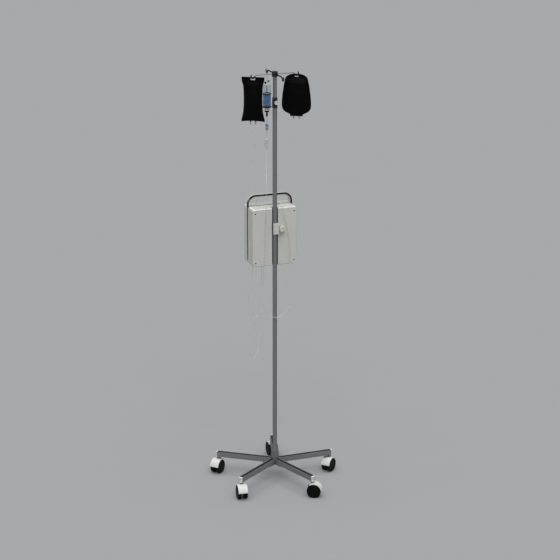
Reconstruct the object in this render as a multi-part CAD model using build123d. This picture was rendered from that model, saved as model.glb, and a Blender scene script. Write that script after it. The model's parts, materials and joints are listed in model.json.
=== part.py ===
"""Infusion pole on five casters, with an infusion pump clamped to it, two bags and a burette.

Millimetres, +Z up. The origin is on the floor under the pole's axis, and the pump's door faces -Y.
"""
from build123d import *
from math import cos, radians, sin
import os

# Fits
RUN = 0.05                 # radial clearance of a shaft in its bore
GAP = 0.1                  # clearance between pieces that pass each other

# Pole
LOWER_TUBE_R = 11.0
LOWER_TUBE_BORE = 9.8
LOWER_TUBE_Z = (93.0, 1944.0)
UPPER_TUBE_R = 9.5
UPPER_TUBE_BORE = 8.0
UPPER_TUBE_Z = (1560.0, 2084.0)
COLLAR_R = 13.0
COLLAR_Z = (1926.0, 1976.0)
COLLAR_KNOB_Z = 1953.0
COLLAR_KNOB_R = 10.0
HEAD_R = 14.5
HEAD_Z = (2078.0, 2103.0)

# Hooks
WIRE_R = 2.1
HOOK_Z = 2090.0            # axis of a hook's straight arm
HOOK_BEND = 6.0
HOOK_LOOP_R = 10.1
HOOK_REACH = 111.3         # from the pole's axis to a loop's centre
HOOK_SEAT_Z = HOOK_Z - HOOK_BEND - HOOK_LOOP_R   # axis of the wire at the bottom of a loop

# Base
LEG_ANGLES = (180, 252, 324, 36, 108)
CASTER_HEADINGS = (40, 268, 42, 83, 150)         # direction in which each caster trails
LEG_WIDTH, LEG_HEIGHT = 26.0, 25.0
LEG_BOTTOM = 85.0
LEG_TOP = LEG_BOTTOM + LEG_HEIGHT
LEG_START, LEG_END = 18.2, 305.0
LEG_WALL = 3.0
LEG_CAVITY_TOP = 106.0
SLOT_WIDTH, SLOT_DEPTH = 17.0, 1.6
HUB_PLATE_Z = 80.0
HUB_TOP = 131.0
BOLT_REACH = 45.0          # from the pole's axis to a leg's bolt

# Casters
STEM_REACH = 301.0
STEM_R = 4.0
WHEEL_R = 35.0
WHEEL_INNER, WHEEL_OUTER = 7.0, 24.5             # faces of a wheel, from the caster's middle
TRAIL = 10.0
HOOD_GAP = 1.5
HOOD_WALL = 3.0
HOOD_TOP = 74.9
HOOD_HALF = 23.5
RING_Z = (75.0, 80.0)

# Bags and burette
BAG_TURN = -30.0           # direction of both bags' faces, across their hooks
BAG_SHEET = 1.2
SLOT_LIFT = 3.05            # a slot's upper edge above the middle of the wire it hangs on
LEFT_BAG = ((2066, 55, 0.6), (2040, 48, 8), (2000, 45.5, 14), (1970, 44.5, 16),
            (1930, 46.5, 15), (1895, 52, 9), (1871, 56, 0.8))    # z, half width, half thickness
RIGHT_BAG = ((2066, 54, 0.7), (2040, 64, 12), (1990, 69, 19), (1944, 72, 19),
             (1911, 68, 13), (1887, 50, 1.0))
BURETTE_R = 20.0
BURETTE_BORE = 18.8
BURETTE_Z = (1912.0, 2018.0)
BURETTE_FLANGE_R = 22.5
BURETTE_BAND_Z = (1971.0, 1975.5)
FLUID_Z = (1918.0, 1968.0)
CHAMBER_Z = (1784.0, 1860.0)
LINE_R = 2.0

# Pump
CASE_HALF = 115.0
CASE_Z = (1135.0, 1426.0)
CASE_BACK, TRIM_BACK, TRIM_FRONT, CASE_FRONT = 3.0, -70.0, -76.5, -130.0
CASE_WALL = 2.5
CASE_CORNER = 14.0
TRIM_HALF = 117.0
TRIM_LOW = 1205.0          # the band stands proud of the cases above this height
HANDLE_TOP = 1478.0
HANDLE_CORNER = 42.0
HANDLE_DEPTH = 18.0
HANDLE_BAR = 9.0
TRIM_BAR = 4.0             # the band's arch is thinner than the handle in front of it
GROOVE_HALF = 15.0
GROOVE_FLOOR = -18.0
CLAMP_Z = (1299.0, 1352.0)
CLAMP_KNOB_X, CLAMP_KNOB_Z, CLAMP_KNOB_R = -29.5, 1322.0, 16.0
SCREW_CORNERS = ((-101, 1153), (101, 1153), (-101, 1404), (101, 1404))

# Pumping head behind the door
HEAD_X, HEAD_Z_AXIS = 55.0, 1277.0
BAY_X = (10.0, 104.0)
BAY_Z = (1152.0, 1405.0)
BAY_FLOOR = -100.0
DOOR_X = (6.0, 99.4)
DOOR_Z = (1156.0, 1401.0)
DOOR_Y = (-142.0, -130.2)
HINGE_X, HINGE_Y = 105.0, -136.0
GEAR_MODULE = 1.25
PINION_TEETH, GEAR_TEETH = 12, 48
GEAR_Y = (-96.0, -88.0)
PORT_X = (30.0, 78.0)      # where lines pass through the underside
TOP_PORT_X = 55.0
MOTOR_X = HEAD_X - GEAR_MODULE * (PINION_TEETH + GEAR_TEETH) / 2
LATCH_X, LATCH_Z = 20.0, HEAD_Z_AXIS
HINGE_EARS = ((1170.0, 1182.0), (1375.0, 1387.0))

# Controls
WINDOW_X, WINDOW_Z = (-98.0, -8.0), (1330.0, 1398.0)
KEY_R = 9.0
KEYS = {"key_up": (-78, 1300), "key_down": (-78, 1272), "key_run": (-38, 1286)}


def block(x, y, z):
    """Box between two limits along each axis."""
    centre = Pos(sum(x) / 2, sum(y) / 2, sum(z) / 2)
    return centre * Box(abs(x[1] - x[0]), abs(y[1] - y[0]), abs(z[1] - z[0]))


def rod_z(r, z, x=0, y=0):
    return Pos(x, y, sum(z) / 2) * Cylinder(r, z[1] - z[0])


def rod_y(r, y, x, z):
    return Pos(x, sum(y) / 2, z) * Rot(90, 0, 0) * Cylinder(r, abs(y[1] - y[0]))


def rod_x(r, x, y, z):
    return Pos(sum(x) / 2, y, z) * Rot(0, 90, 0) * Cylinder(r, abs(x[1] - x[0]))


def rounded_slab(half, z, corner, y):
    """Plate in the XZ plane, centred on X, with rounded corners."""
    face = Plane.XZ * RectangleRounded(2 * half, z[1] - z[0], corner)
    return Pos(0, max(y), sum(z) / 2) * extrude(face, amount=abs(y[1] - y[0]))


def polar(angle, reach, z=0):
    return Pos(reach * cos(radians(angle)), reach * sin(radians(angle)), z)


def group(solids):
    return Compound(children=list(solids))


# ---------------------------------------------------------------- base

def base_hub():
    """Core with a spigot inside each leg and a bar under it, and a boss on top that the pole stands in."""
    body = rod_z(LEG_START - GAP, (HUB_PLATE_Z, LEG_TOP + GAP))
    body += rod_z(20, (LEG_TOP + GAP, HUB_TOP))
    half = LEG_WIDTH / 2 - LEG_WALL - GAP
    for angle in LEG_ANGLES:
        turn = Rot(0, 0, angle)
        body += turn * block((10, 64), (-half, half), (LEG_BOTTOM + LEG_WALL + GAP, LEG_CAVITY_TOP - GAP))
        body += turn * block((10, 60), (-11.5, 11.5), (HUB_PLATE_Z, LEG_BOTTOM - GAP))
    for angle in LEG_ANGLES:
        body -= Rot(0, 0, angle) * rod_z(3 + RUN, (HUB_PLATE_Z - 1, 99), BOLT_REACH)
    return body - rod_z(LOWER_TUBE_R + RUN, (92, HUB_TOP + 1))


def base_leg():
    middle = (LEG_BOTTOM + LEG_TOP) / 2
    length = LEG_END - LEG_START
    section = Plane.YZ * RectangleRounded(LEG_WIDTH, LEG_HEIGHT, 1.5)
    outer = Pos(LEG_START, 0, middle) * extrude(section, amount=length)
    half = LEG_WIDTH / 2 - LEG_WALL
    through = (LEG_START - 1, LEG_END + 1)
    cavity = block(through, (-half, half), (LEG_BOTTOM + LEG_WALL, LEG_CAVITY_TOP))
    slot = block(through, (-SLOT_WIDTH / 2, SLOT_WIDTH / 2), (LEG_TOP - SLOT_DEPTH, LEG_TOP + 1))
    stem_hole = rod_z(9, (LEG_BOTTOM - 1, LEG_BOTTOM + LEG_WALL + 1), STEM_REACH)
    bolt_hole = rod_z(3 + GAP, (LEG_BOTTOM - 1, LEG_BOTTOM + LEG_WALL + 1), BOLT_REACH)
    return outer - cavity - slot - stem_hole - bolt_hole


def leg_end_plug():
    """Plug with a tongue inside the leg, a flared end face and a neck that holds the caster's stem."""
    neck_low, flare_low, lip_top = RING_Z[1], 100.0, LEG_TOP + 1
    outline = Polyline((0, neck_low), (8.8, neck_low), (9.2, flare_low), (13, 105.5), (13, lip_top - 1.5),
                       (11.5, lip_top), (0, lip_top), close=True)
    end = Pos(STEM_REACH, 0, 0) * revolve(Plane.XZ * make_face(outline), Axis.Z)
    end -= block((0, LEG_END + GAP), (-40, 40), (LEG_BOTTOM - GAP, lip_top + 1))
    half = LEG_WIDTH / 2 - LEG_WALL - GAP
    tongue = block((262, LEG_END + 1), (-half, half), (LEG_BOTTOM + LEG_WALL + GAP, LEG_CAVITY_TOP - GAP))
    sleeve = rod_z(8.8, (neck_low, LEG_BOTTOM + LEG_WALL + 1), STEM_REACH)
    return end + tongue + sleeve - rod_z(STEM_R + RUN, (neck_low - 1, 104), STEM_REACH)


def leg_bolt():
    head = Pos(0, 0, 77.7) * extrude(RegularPolygon(5, 6), amount=2.2)
    return Pos(BOLT_REACH, 0, 0) * (head + rod_z(3, (77.7, 98)))


def pole_socket():
    outline = Polyline((LOWER_TUBE_R + RUN, HUB_TOP), (19, HUB_TOP), (19, 150), (12.2, 190),
                       (LOWER_TUBE_R + RUN, 190), close=True)
    body = revolve(Plane.XZ * make_face(outline), Axis.Z)
    set_slot = Rot(0, 0, 150) * block((15, 25), (-2.5, 2.5), (135, 147))
    return body - set_slot


def lower_tube():
    return rod_z(LOWER_TUBE_R, LOWER_TUBE_Z) - rod_z(LOWER_TUBE_BORE, (0, 2000))


def height_collar():
    body = rod_z(COLLAR_R, (COLLAR_Z[0], COLLAR_Z[1] - 6))
    body += Pos(0, 0, COLLAR_Z[1] - 3) * Cone(COLLAR_R, 11.5, 6)
    body += rod_y(7, (9, 17), 0, COLLAR_KNOB_Z)
    body -= rod_z(LOWER_TUBE_R + RUN, (COLLAR_Z[0] - 1, LOWER_TUBE_Z[1]))
    body -= rod_z(UPPER_TUBE_R + RUN, (COLLAR_Z[0] - 1, COLLAR_Z[1] + 1))
    return body - rod_y(3 + RUN, (0, 20), 0, COLLAR_KNOB_Z)


def collar_knob():
    knob = fillet(rod_y(COLLAR_KNOB_R, (18, 28), 0, COLLAR_KNOB_Z).edges(), 2.5)
    knob -= rod_y(COLLAR_KNOB_R - 4, (26, 29), 0, COLLAR_KNOB_Z)
    for step in range(12):
        notch = Pos(COLLAR_KNOB_R + 0.6, 0, 0) * rod_y(1.6, (17, 29), 0, 0)
        knob -= Pos(0, 0, COLLAR_KNOB_Z) * Rot(0, 30 * step, 0) * notch
    return knob + rod_y(3, (UPPER_TUBE_R + GAP, 20), 0, COLLAR_KNOB_Z)


# ---------------------------------------------------------------- casters

def caster_stem():
    ring = rod_z(8.5, RING_Z) - rod_z(STEM_R - 0.5, (RING_Z[0] - 1, RING_Z[1] + 1))
    return ring + rod_z(STEM_R, (47, 103))


def caster_hood():
    """Fender over the trailing side of both wheels, with a web between them. It trails along +X."""
    fender_r = WHEEL_R + HOOD_GAP + HOOD_WALL
    points = [(TRAIL, WHEEL_R)]
    points += [(TRAIL + 70 * cos(radians(a)), WHEEL_R + 70 * sin(radians(a))) for a in (8, 35, 75, 125)]
    wedge = Pos(0, 26, 0) * extrude(Plane.XZ * make_face(Polyline(*points, close=True)), amount=52)
    body = rod_y(fender_r, (-HOOD_HALF, HOOD_HALF), TRAIL, WHEEL_R) & wedge
    body += rod_z(12, (56, HOOD_TOP))
    for side in (-1, 1):
        body -= rod_y(WHEEL_R + HOOD_GAP, (side * 6, side * 27), TRAIL, WHEEL_R)
    body += rod_y(11, (-6, 6), TRAIL, WHEEL_R)
    body -= rod_z(STEM_R + RUN, (46, 80))
    return body - rod_y(STEM_R + RUN, (-7, 7), TRAIL, WHEEL_R)


def caster_wheel(side):
    wheel = fillet(rod_y(WHEEL_R, (side * WHEEL_INNER, side * WHEEL_OUTER), TRAIL, WHEEL_R).edges(), 2.5)
    dish = rod_y(27, (side * (WHEEL_OUTER - 1.5), side * (WHEEL_OUTER + 1)), TRAIL, WHEEL_R)
    cap = rod_y(8, (side * (WHEEL_OUTER - 3), side * WHEEL_OUTER), TRAIL, WHEEL_R)
    stub = rod_y(STEM_R, (side * 0.4, side * (WHEEL_INNER + 1)), TRAIL, WHEEL_R)
    return wheel - dish + cap + stub


# ---------------------------------------------------------------- upper pole

def upper_tube():
    low, high = UPPER_TUBE_Z
    return rod_z(UPPER_TUBE_R, UPPER_TUBE_Z) - rod_z(UPPER_TUBE_BORE, (low - 1, high + 1))


def hook_head():
    head = rod_z(HEAD_R, HEAD_Z)
    head = fillet(head.edges().sort_by(Axis.Z)[-1], 3)
    head -= rod_z(UPPER_TUBE_R + RUN, (HEAD_Z[0] - 1, UPPER_TUBE_Z[1] + RUN))
    for angle in (0, 90, 180, 270):
        head -= Rot(0, 0, angle) * rod_x(WIRE_R + RUN, (3.9, HEAD_R + 1), 0, HOOK_Z)
    return head


def hook_arm():
    """Straight wire that bends down into a loop, open at the top."""
    bend_x = HOOK_REACH - HOOK_LOOP_R - HOOK_BEND
    straight = Line((4, HOOK_Z), (bend_x, HOOK_Z))
    bend = CenterArc((bend_x, HOOK_Z - HOOK_BEND), HOOK_BEND, 90, -90)
    loop = CenterArc((HOOK_REACH, HOOK_Z - HOOK_BEND), HOOK_LOOP_R, 180, 235)
    path = Plane.XZ * Wire([straight, bend, loop])
    return sweep(Plane(origin=(4, 0, HOOK_Z), z_dir=(1, 0, 0)) * Circle(WIRE_R), path=path)


# ---------------------------------------------------------------- bags and burette

def bag_place(side):
    """Frame of a bag: local X across its face, origin under its hook on the floor's level."""
    return Pos(side * HOOK_REACH, 0, 0) * Rot(0, 0, BAG_TURN)


def pillow(sections):
    faces = [Plane.XY.offset(z) * Ellipse(half, thick) for z, half, thick in sections]
    return loft(faces, ruled=True)


def hanging_slot(width, height):
    top = HOOK_SEAT_Z + SLOT_LIFT
    return block((-width / 2, width / 2), (-5, 5), (top - height, top))


def bag_left():
    body = pillow(LEFT_BAG)
    half = BAG_SHEET / 2
    body += block((-56.5, 56.5), (-half, half), (2062, 2082.5))
    body += block((-57, 57), (-half, half), (1866, 1874))
    return bag_place(1) * (body - hanging_slot(21, 9))


def bag_right():
    body = pillow(RIGHT_BAG)
    half = BAG_SHEET / 2
    dome = make_face([ThreePointArc((-54, 2066), (0, 2084), (54, 2066)), Line((54, 2066), (-54, 2066))])
    body += Pos(0, half, 0) * extrude(Plane.XZ * dome, amount=BAG_SHEET)
    body += block((-54, 54), (-half, half), (2060, 2066))
    body += block((-30, 30), (-half, half), (1877, 1891))
    return bag_place(-1) * (body - hanging_slot(16, 8))


def bag_ports(side, spread, top):
    """Two ports under a bag: a sleeve with a narrower tip."""
    for place in (-spread, spread):
        port = rod_z(3.6, (top - 9, top), place) + rod_z(2.6, (top - 14, top - 8), place)
        yield bag_place(side) * port


def at_burette(shape):
    return Pos(0, -HOOK_REACH, 0) * shape


def burette_cap():
    """Lid with two ports and a strap that hangs on the hook."""
    low = BURETTE_Z[1]
    lid = fillet(rod_z(BURETTE_R + 1, (low, low + 6)).edges(), 1.2)
    lid += rod_z(3.2, (low + 5, low + 20), -9) + rod_z(3.2, (low + 5, low + 13), 9)
    strap = block((-5, 5), (-1, 1), (low + 5, HOOK_SEAT_Z + 6))
    eye = HOOK_SEAT_Z - 1
    strap += rod_y(7, (-1, 1), 0, eye)
    strap -= rod_y(3.5, (-2, 2), 0, eye)
    return at_burette(lid + strap)


def burette_cylinder():
    """Clear cylinder with a raised band above the fluid."""
    wall = rod_z(BURETTE_R, BURETTE_Z) + rod_z(BURETTE_FLANGE_R, BURETTE_BAND_Z)
    return at_burette(wall - rod_z(BURETTE_BORE, (BURETTE_Z[0] - 1, BURETTE_Z[1] + 1)))


def burette_fluid():
    return at_burette(rod_z(BURETTE_BORE - GAP, FLUID_Z))


def burette_base():
    """Stepped foot of the burette with its outlet."""
    low = BURETTE_Z[0]
    steps = ((BURETTE_FLANGE_R, low - 6, low), (BURETTE_BORE - GAP, low - 1, low + 6),
             (14, low - 20, low - 5), (11, low - 29, low - 19), (3.5, low - 36, low - 28),
             (5, low - 48, low - 35), (3, CHAMBER_Z[1], low - 47))
    foot = rod_z(steps[0][0], steps[0][1:])
    for r, low, high in steps[1:]:
        foot += rod_z(r, (low, high))
    return at_burette(foot)


def drip_chamber():
    low, high = CHAMBER_Z
    outer = ((1.2, high), (2.5, high), (2.5, high - 35), (7.5, high - 37), (7.5, low + 10), (2.5, low + 5),
             (2.5, low))
    inner = ((1.2, low), (1.2, low + 6), (6.3, low + 11), (6.3, high - 38), (1.2, high - 37))
    outline = Polyline(*outer, *inner, close=True)
    return at_burette(revolve(Plane.XZ * make_face(outline), Axis.Z))


def roller_clamp():
    """Channel around the line, with guide slots for the wheel's pins."""
    body = block((-6.5, 6.5), (-13, 4.5), (1700, 1745))
    body -= block((-3.3, 3.3), (-14, -2.0), (1704, 1741))
    body -= block((-7, 7), (-9.3, -5.7), (1705.5, 1738.5))
    return at_burette(body - rod_z(LINE_R + 0.2, (1690, 1750)))


def roller_wheel():
    wheel = rod_x(5.2, (-3, 3), -7.5, 1722) + rod_x(1.6, (-6.4, 6.4), -7.5, 1722)
    return at_burette(wheel)


def line_along(points, bend):
    """Flexible line of straight runs, with a tangent arc of the same setback at each corner."""
    corners = [Vector(*point) for point in points]
    edges, last = [], corners[0]
    for before, corner, after in zip(corners, corners[1:], corners[2:]):
        setback = min(bend, (corner - before).length * 0.49, (after - corner).length * 0.49)
        into = (corner - before).normalized()
        away = (after - corner).normalized()
        start, end = corner - into * setback, corner + away * setback
        edges += [Line(last, start), TangentArc(start, end, tangent=into)]
        last = end
    edges.append(Line(last, corners[-1]))
    first = Plane(origin=corners[0], z_dir=corners[1] - corners[0])
    return sweep(first * Circle(LINE_R), path=Wire(edges))


def burette_line():
    """From the drip chamber, in a loop under the pump, over its back edge and into the top of the bay."""
    front = -HOOK_REACH
    back = CASE_BACK + 6
    top = CASE_Z[1]
    points = ((0, front, CHAMBER_Z[0] - 0.2), (0, front, 1660), (46, -8, 1480), (48, back, 1420),
              (54, back, 1250), (50, back, 1000), (40, 18, 890), (-30, 18, 868), (-84, back, 940),
              (-78, back, 1150), (-66, back, 1330), (-40, back, 1400), (-40, back, top + 12),
              (-36, -20, top + 20), (-20, -72, top + 28), (TOP_PORT_X, -112, top + 34),
              (TOP_PORT_X, -112, top + 0.5))
    return line_along(points, 30)


def supply_line():
    """From the left bag, past the pump's side, into the first port under the pumping bay."""
    port = bag_place(1) * Pos(-12, 0, 0)
    x, y = port.position.X, port.position.Y
    points = ((x, y, 1851.5), (x, y, 1780), (122, -30, 1460), (122, -34, 1100), (118, -50, 690),
              (84, -84, 628), (40, -113, 700), (PORT_X[0], -113, 1060), (PORT_X[0], -113, CASE_Z[0] - 0.5))
    return line_along(points, 45)


def patient_line():
    """From the second port, down in a loop, with its end connector parked under the pump."""
    low = CASE_Z[0]
    points = ((PORT_X[1], -113, low - 0.5), (PORT_X[1], -113, 1060), (96, -90, 900), (60, -110, 838),
              (25, -103, 900), (24, -100, 1060), (24, -100, low - 27))
    connector = rod_z(4, (low - 29, low - 9), 24, -100) + rod_z(3, (low - 10, low - 0.5), 24, -100)
    return line_along(points, 32) + connector


# ---------------------------------------------------------------- pump

def corner_bosses(r, y):
    bosses = [rod_y(r, y, x, z) for x, z in SCREW_CORNERS]
    return bosses


def rear_case():
    """Back shell with the groove that takes the pole."""
    inner = CASE_HALF - CASE_WALL
    inside_z = (CASE_Z[0] + CASE_WALL, CASE_Z[1] - CASE_WALL)
    body = rounded_slab(CASE_HALF, CASE_Z, CASE_CORNER, (CASE_BACK, TRIM_BACK))
    back_edges = body.edges().group_by(Axis.Y)[-1]
    body = fillet(back_edges, 4)
    body -= rounded_slab(inner, inside_z, CASE_CORNER - CASE_WALL, (CASE_BACK - CASE_WALL, TRIM_BACK - 1))
    wall = GROOVE_HALF + CASE_WALL
    body += block((-wall, wall), (CASE_BACK - CASE_WALL, GROOVE_FLOOR - CASE_WALL), CASE_Z)
    body += rod_y(9, (CASE_BACK - 1, -32), CLAMP_KNOB_X, CLAMP_KNOB_Z)
    for boss in corner_bosses(5.5, (CASE_BACK - 1, TRIM_BACK)):
        body += boss
    body -= block((-GROOVE_HALF, GROOVE_HALF), (CASE_BACK + 1, GROOVE_FLOOR), (CASE_Z[0] - 1, CASE_Z[1] + 1))
    for hole in corner_bosses(2.1, (CASE_BACK + 1, TRIM_BACK - 1)) + corner_bosses(4.1, (CASE_BACK + 1, -40)):
        body -= hole
    return body - rod_y(4 + GAP, (CASE_BACK + 1, -28), CLAMP_KNOB_X, CLAMP_KNOB_Z)


def handle_arch(half, z, bar, y):
    """Plate with rounded shoulders, opened above the case so that a bar of the given thickness is left."""
    opening = rounded_slab(CASE_HALF - bar, (CASE_Z[1] - 40, HANDLE_TOP - bar), HANDLE_CORNER - bar,
                           (max(y) + 1, min(y) - 1))
    return rounded_slab(half, z, HANDLE_CORNER, y) - opening


def trim_band():
    """Dark band between the two shells, which follows the handle's arch."""
    back, front = TRIM_BACK - GAP, TRIM_FRONT + GAP
    band = handle_arch(TRIM_HALF, (TRIM_LOW - 27, HANDLE_TOP + 2), TRIM_BAR, (back, front))
    band += rounded_slab(CASE_HALF - 0.5, (CASE_Z[0] + 0.5, CASE_Z[1]), CASE_CORNER, (back, front))
    inner = CASE_HALF - CASE_WALL - 4
    return band - rounded_slab(inner, (CASE_Z[0] + 6, CASE_Z[1] - 6), 10, (back + 1, front - 1))


def front_case():
    """Front shell with the carry handle, the pumping bay, the display recess and the key openings."""
    inner = CASE_HALF - CASE_WALL
    inside_z = (CASE_Z[0] + CASE_WALL, CASE_Z[1] - CASE_WALL)
    body = rounded_slab(CASE_HALF, CASE_Z, CASE_CORNER, (TRIM_FRONT, CASE_FRONT))
    body = fillet(body.edges().group_by(Axis.Y)[0], 5)
    body -= rounded_slab(inner, inside_z, CASE_CORNER - CASE_WALL, (TRIM_FRONT + 1, CASE_FRONT + CASE_WALL))
    handle_y = (TRIM_FRONT, TRIM_FRONT - HANDLE_DEPTH)
    arch = handle_arch(CASE_HALF, (CASE_Z[1] - 100, HANDLE_TOP), HANDLE_BAR, handle_y)
    body += arch & block((-CASE_HALF, CASE_HALF), handle_y, (CASE_Z[1] - 1, HANDLE_TOP))
    wall = 2.0
    body += block((BAY_X[0] - wall, BAY_X[1] + wall), (BAY_FLOOR + wall, CASE_FRONT + CASE_WALL),
                  (BAY_Z[0] - wall, BAY_Z[1] + wall))
    body -= block(BAY_X, (BAY_FLOOR, CASE_FRONT - 1), BAY_Z)
    body += head_track()
    for boss in corner_bosses(5, (TRIM_FRONT, CASE_FRONT + 1)):
        body += boss
    for hole in corner_bosses(1.9 + RUN, (TRIM_FRONT + 1, -102)):
        body -= hole
    for x in PORT_X:
        body -= rod_z(LINE_R + 1, (CASE_Z[0] - 1, BAY_Z[0] + 2), x, -113)
    body -= rod_z(LINE_R + 1, (BAY_Z[1] - 2, CASE_Z[1] + 1), TOP_PORT_X, -112)
    body -= rod_y(5 + RUN, (BAY_FLOOR + wall + 1, BAY_FLOOR - 1), HEAD_X, HEAD_Z_AXIS)
    body -= block(WINDOW_X, (CASE_FRONT - 1, CASE_FRONT + 1.6), WINDOW_Z)
    body -= block([WINDOW_X[0] + 4, WINDOW_X[1] - 4], (CASE_FRONT - 1, CASE_FRONT + 5),
                  [WINDOW_Z[0] + 4, WINDOW_Z[1] - 4])
    for x, z in KEYS.values():
        body -= rod_y(KEY_R + GAP, (CASE_FRONT - 1, CASE_FRONT + 5), x, z)
    for z in HINGE_EARS:
        body += hinge_ear(z) - rod_z(2 + RUN, (z[0] - 1, z[1] + 1), HINGE_X, HINGE_Y)
    return body - block((BAY_X[0] - wall - 1, BAY_X[0] + 1), (-124, -118), (LATCH_Z - 8.5, LATCH_Z + 8.5))


def hinge_ear(z):
    ear = rod_z(5, z, HINGE_X, HINGE_Y)
    return ear + block((HINGE_X - 5, HINGE_X + 5), (HINGE_Y, CASE_FRONT + 1), z)


def head_track():
    """Curved wall that the line is pressed against, on the bay's right side."""
    ring = rod_y(42, (BAY_FLOOR + 1, -122), HEAD_X, HEAD_Z_AXIS)
    ring -= rod_y(34, (BAY_FLOOR + 2, -123), HEAD_X, HEAD_Z_AXIS)
    height = (HEAD_Z_AXIS - 50, HEAD_Z_AXIS + 50)
    return ring & block((HEAD_X + 8, BAY_X[1] + 1), (BAY_FLOOR + 2, -123), height)


def pump_rotor():
    """Carrier with three roller pins in front of the bay's floor, shaft, and drive gear behind it."""
    back, front = BAY_FLOOR + 2 + GAP, BAY_FLOOR - 1
    rotor = rod_y(24, (front, front - 3), HEAD_X, HEAD_Z_AXIS)
    rotor += rod_y(5, (GEAR_Y[1], front - 1), HEAD_X, HEAD_Z_AXIS)
    rotor += rod_y(8, (front - 2, front - 18), HEAD_X, HEAD_Z_AXIS)
    rotor += rod_y(12, (front - 16, front - 19), HEAD_X, HEAD_Z_AXIS)
    for pin in roller_places():
        rotor += pin * rod_y(2.4, (front - 1, front - 16), 0, 0)
    gear = spur_gear(GEAR_TEETH, (GEAR_Y[0] + 3, GEAR_Y[1]), 0)
    return rotor + Pos(HEAD_X, 0, HEAD_Z_AXIS) * gear


def roller_places():
    for angle in (0, 120, 240):
        yield Pos(HEAD_X, 0, HEAD_Z_AXIS) * Rot(0, angle, 0) * Pos(19, 0, 0)


def pump_rollers():
    low = BAY_FLOOR - 1 - 3 - GAP
    for place in roller_places():
        yield place * (rod_y(7, (low, low - 11), 0, 0) - rod_y(2.4 + RUN, (low + 1, low - 12), 0, 0))


def spur_gear(teeth, y, phase):
    """Straight-sided teeth, thinner than half the pitch so that they run with backlash."""
    pitch_r = GEAR_MODULE * teeth / 2
    root_r = pitch_r - 1.25 * GEAR_MODULE
    tip_r = pitch_r + 0.8 * GEAR_MODULE
    pitch = 3.14159 * GEAR_MODULE
    tooth_points = ((root_r - 0.5, -0.3 * pitch), (pitch_r, -0.2 * pitch), (tip_r, -0.1 * pitch),
                    (tip_r, 0.1 * pitch), (pitch_r, 0.2 * pitch), (root_r - 0.5, 0.3 * pitch))
    depth = y[1] - y[0]
    tooth = Pos(0, y[1], 0) * extrude(Plane.XZ * make_face(Polyline(*tooth_points, close=True)), amount=depth)
    gear = rod_y(root_r, y, 0, 0)
    gear += [Rot(0, phase + 360 * i / teeth, 0) * tooth for i in range(teeth)]
    return gear


def motor_pinion():
    # The gear has a tooth at 180 degrees, towards the pinion, so the pinion has a gap at 0 degrees.
    pinion = spur_gear(PINION_TEETH, (GEAR_Y[0] + 3, GEAR_Y[1]), 180 / PINION_TEETH)
    return Pos(MOTOR_X, 0, HEAD_Z_AXIS) * (pinion + rod_y(2, (GEAR_Y[0] + 4, -70), 0, 0))


def pump_motor():
    """Motor can with the bearing nose that carries the pinion's shaft."""
    can = fillet(rod_y(17, (-36, -80), MOTOR_X, HEAD_Z_AXIS).edges(), 1.5)
    can += rod_y(8, (-79, -84), MOTOR_X, HEAD_Z_AXIS)
    return can - rod_y(2 + RUN, (-69, -85), MOTOR_X, HEAD_Z_AXIS)


def circuit_board():
    board = block((-106, -6), (-84, -82.4), (1160, 1396))
    board += block((-96, -10), (-88, -83.5), (1340, 1390))
    for x, z in ((-80, 1190), (-50, 1190), (-70, 1230)):
        board += block((x - 9, x + 9), (-87, -83.5), (z - 9, z + 9))
    return board


def battery_pack():
    return fillet(block((-95, -28), (-62, -24), (CASE_Z[0] + CASE_WALL + 6, 1262)).edges(), 2)


def display_window():
    gap = GAP
    return block((WINDOW_X[0] + gap, WINDOW_X[1] - gap), (CASE_FRONT - 0.4, CASE_FRONT + 1.5),
                 (WINDOW_Z[0] + gap, WINDOW_Z[1] - gap))


def control_key(place):
    x, z = place
    cap = rod_y(KEY_R, (CASE_FRONT - 2.2, CASE_FRONT + 3.5), x, z)
    cap = fillet(cap.edges().group_by(Axis.Y)[0], 1)
    return cap + rod_y(KEY_R + 2, (CASE_FRONT + CASE_WALL + GAP, CASE_FRONT + 4.5), x, z)


def door():
    """Door panel with a rounded edge, hinge knuckle, platen boss and latch bore."""
    middle_x = sum(DOOR_X) / 2
    width = DOOR_X[1] - DOOR_X[0]
    face = Plane.XZ * RectangleRounded(width, DOOR_Z[1] - DOOR_Z[0], 9)
    body = Pos(middle_x, DOOR_Y[1], sum(DOOR_Z) / 2) * extrude(face, amount=DOOR_Y[1] - DOOR_Y[0])
    body = fillet(body.edges().group_by(Axis.Y)[0], 3)
    hollow_x, hollow_z = (DOOR_X[0] + 3, DOOR_X[1] - 3), (DOOR_Z[0] + 3, DOOR_Z[1] - 3)
    body -= block(hollow_x, (DOOR_Y[1] + 1, DOOR_Y[0] + 3), hollow_z)
    inner_low, inner_high = HINGE_EARS[0][1] + GAP, HINGE_EARS[1][0] - GAP
    for low, high in ((inner_low, inner_low + 30), (inner_high - 30, inner_high)):
        body += rod_z(5, (low, high), HINGE_X, HINGE_Y)
        body += block((DOOR_X[1] - 4, HINGE_X), (HINGE_Y - 2.5, HINGE_Y + 2.5), (low, high))
    body += rod_y(7, (DOOR_Y[1], DOOR_Y[0] + 2), LATCH_X, LATCH_Z)
    body -= rod_z(2 + RUN, (CASE_Z[0], CASE_Z[1]), HINGE_X, HINGE_Y)
    return body - rod_y(4 + RUN, (DOOR_Y[0] - 1, DOOR_Y[1] + 1), LATCH_X, LATCH_Z)


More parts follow.
